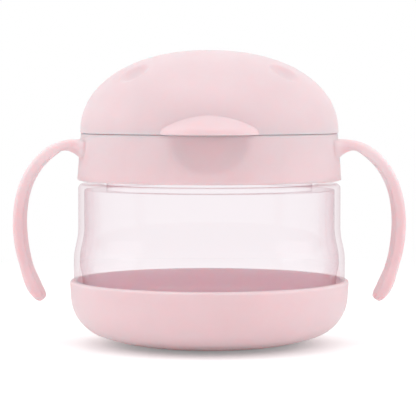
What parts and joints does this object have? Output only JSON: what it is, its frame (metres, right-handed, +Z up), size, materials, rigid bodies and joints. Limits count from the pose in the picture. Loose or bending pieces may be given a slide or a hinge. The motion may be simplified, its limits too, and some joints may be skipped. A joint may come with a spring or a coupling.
{
  "type": "toddler snack container",
  "caption": "Clear snack cup in a pink silicone boot, with curved side handles on a screwed collar, soft finger flaps and a hinged dome lid with a rounded thumb tab",
  "frame": {"origin": "centre of the resting foot, on the cup's axis at floor level", "axes": "+Z up along the cup's axis, -Y to the front where the thumb tab is, handles along +X and -X"},
  "size_m": [0.1454, 0.1102, 0.1094],
  "materials": {
    "boot_silicone": "satin moulded silicone",
    "cup_clear": "polished clear copolyester",
    "pink_plastic": "satin moulded polypropylene",
    "lid_plastic": "satin moulded polypropylene",
    "flap_silicone": "soft matt silicone",
    "seal_silicone": "translucent white silicone",
    "retainer_plastic": "natural polypropylene",
    "pin_steel": "drawn stainless pin"
  },
  "bodies": {
    "cup_body": {"clear_cup": "cup_clear", "base_boot": "boot_silicone"},
    "seal_body": {"neck_seal": "seal_silicone"},
    "collar_body": {"handle_collar": "pink_plastic", "flap_ring": "flap_silicone", "flap_retainer": "retainer_plastic", "hinge_pin": "pin_steel"},
    "lid_body": {"lid": "lid_plastic", "lid_seal": "seal_silicone"},
    "flap_1_body": {"flap_1": "flap_silicone"},
    "flap_2_body": {"flap_2": "flap_silicone"},
    "flap_3_body": {"flap_3": "flap_silicone"},
    "flap_4_body": {"flap_4": "flap_silicone"},
    "flap_5_body": {"flap_5": "flap_silicone"},
    "flap_6_body": {"flap_6": "flap_silicone"},
    "flap_7_body": {"flap_7": "flap_silicone"},
    "flap_8_body": {"flap_8": "flap_silicone"}
  },
  "joints": [
    {"name": "collar_lift", "type": "slide", "parent": "cup_body", "child": "seal_body", "axis": [0, 0, 1], "range_m": [0, 0.006]},
    {"name": "collar_twist", "type": "hinge", "parent": "seal_body", "child": "collar_body", "pos_m": [0, 0, 0.0726], "axis": [0, 0, 1], "range_deg": [0, 90]},
    {"name": "lid_hinge", "type": "hinge", "parent": "collar_body", "child": "lid_body", "pos_m": [0, 0.0502, 0.07883], "axis": [-1, 0, 0], "range_deg": [0, 120]},
    {"name": "flap_1_bend", "type": "hinge", "parent": "collar_body", "child": "flap_1_body", "pos_m": [0.0331, 0, 0.07565], "axis": [0, -1, 0], "range_deg": [-45, 70], "stiffness_Nm_per_rad": 0.02},
    {"name": "flap_2_bend", "type": "hinge", "parent": "collar_body", "child": "flap_2_body", "pos_m": [0.02341, 0.02341, 0.07565], "axis": [0.7071, -0.7071, 0], "range_deg": [-45, 70], "stiffness_Nm_per_rad": 0.02},
    {"name": "flap_3_bend", "type": "hinge", "parent": "collar_body", "child": "flap_3_body", "pos_m": [0, 0.0331, 0.07565], "axis": [1, 0, 0], "range_deg": [-45, 70], "stiffness_Nm_per_rad": 0.02},
    {"name": "flap_4_bend", "type": "hinge", "parent": "collar_body", "child": "flap_4_body", "pos_m": [-0.02341, 0.02341, 0.07565], "axis": [0.7071, 0.7071, 0], "range_deg": [-45, 70], "stiffness_Nm_per_rad": 0.02},
    {"name": "flap_5_bend", "type": "hinge", "parent": "collar_body", "child": "flap_5_body", "pos_m": [-0.0331, 0, 0.07565], "axis": [0, 1, 0], "range_deg": [-45, 70], "stiffness_Nm_per_rad": 0.02},
    {"name": "flap_6_bend", "type": "hinge", "parent": "collar_body", "child": "flap_6_body", "pos_m": [-0.02341, -0.02341, 0.07565], "axis": [-0.7071, 0.7071, 0], "range_deg": [-45, 70], "stiffness_Nm_per_rad": 0.02},
    {"name": "flap_7_bend", "type": "hinge", "parent": "collar_body", "child": "flap_7_body", "pos_m": [0, -0.0331, 0.07565], "axis": [-1, 0, 0], "range_deg": [-45, 70], "stiffness_Nm_per_rad": 0.02},
    {"name": "flap_8_bend", "type": "hinge", "parent": "collar_body", "child": "flap_8_body", "pos_m": [0.02341, -0.02341, 0.07565], "axis": [-0.7071, -0.7071, 0], "range_deg": [-45, 70], "stiffness_Nm_per_rad": 0.02}
  ],
  "couplings": [
    {"joint": "collar_lift", "follows": "collar_twist", "m_per_rad": 0.0038197},
    {"joint": "flap_2_bend", "follows": "flap_1_bend", "ratio": 1},
    {"joint": "flap_3_bend", "follows": "flap_1_bend", "ratio": 1},
    {"joint": "flap_4_bend", "follows": "flap_1_bend", "ratio": 1},
    {"joint": "flap_5_bend", "follows": "flap_1_bend", "ratio": 1},
    {"joint": "flap_6_bend", "follows": "flap_1_bend", "ratio": 1},
    {"joint": "flap_7_bend", "follows": "flap_1_bend", "ratio": 1},
    {"joint": "flap_8_bend", "follows": "flap_1_bend", "ratio": 1}
  ]
}
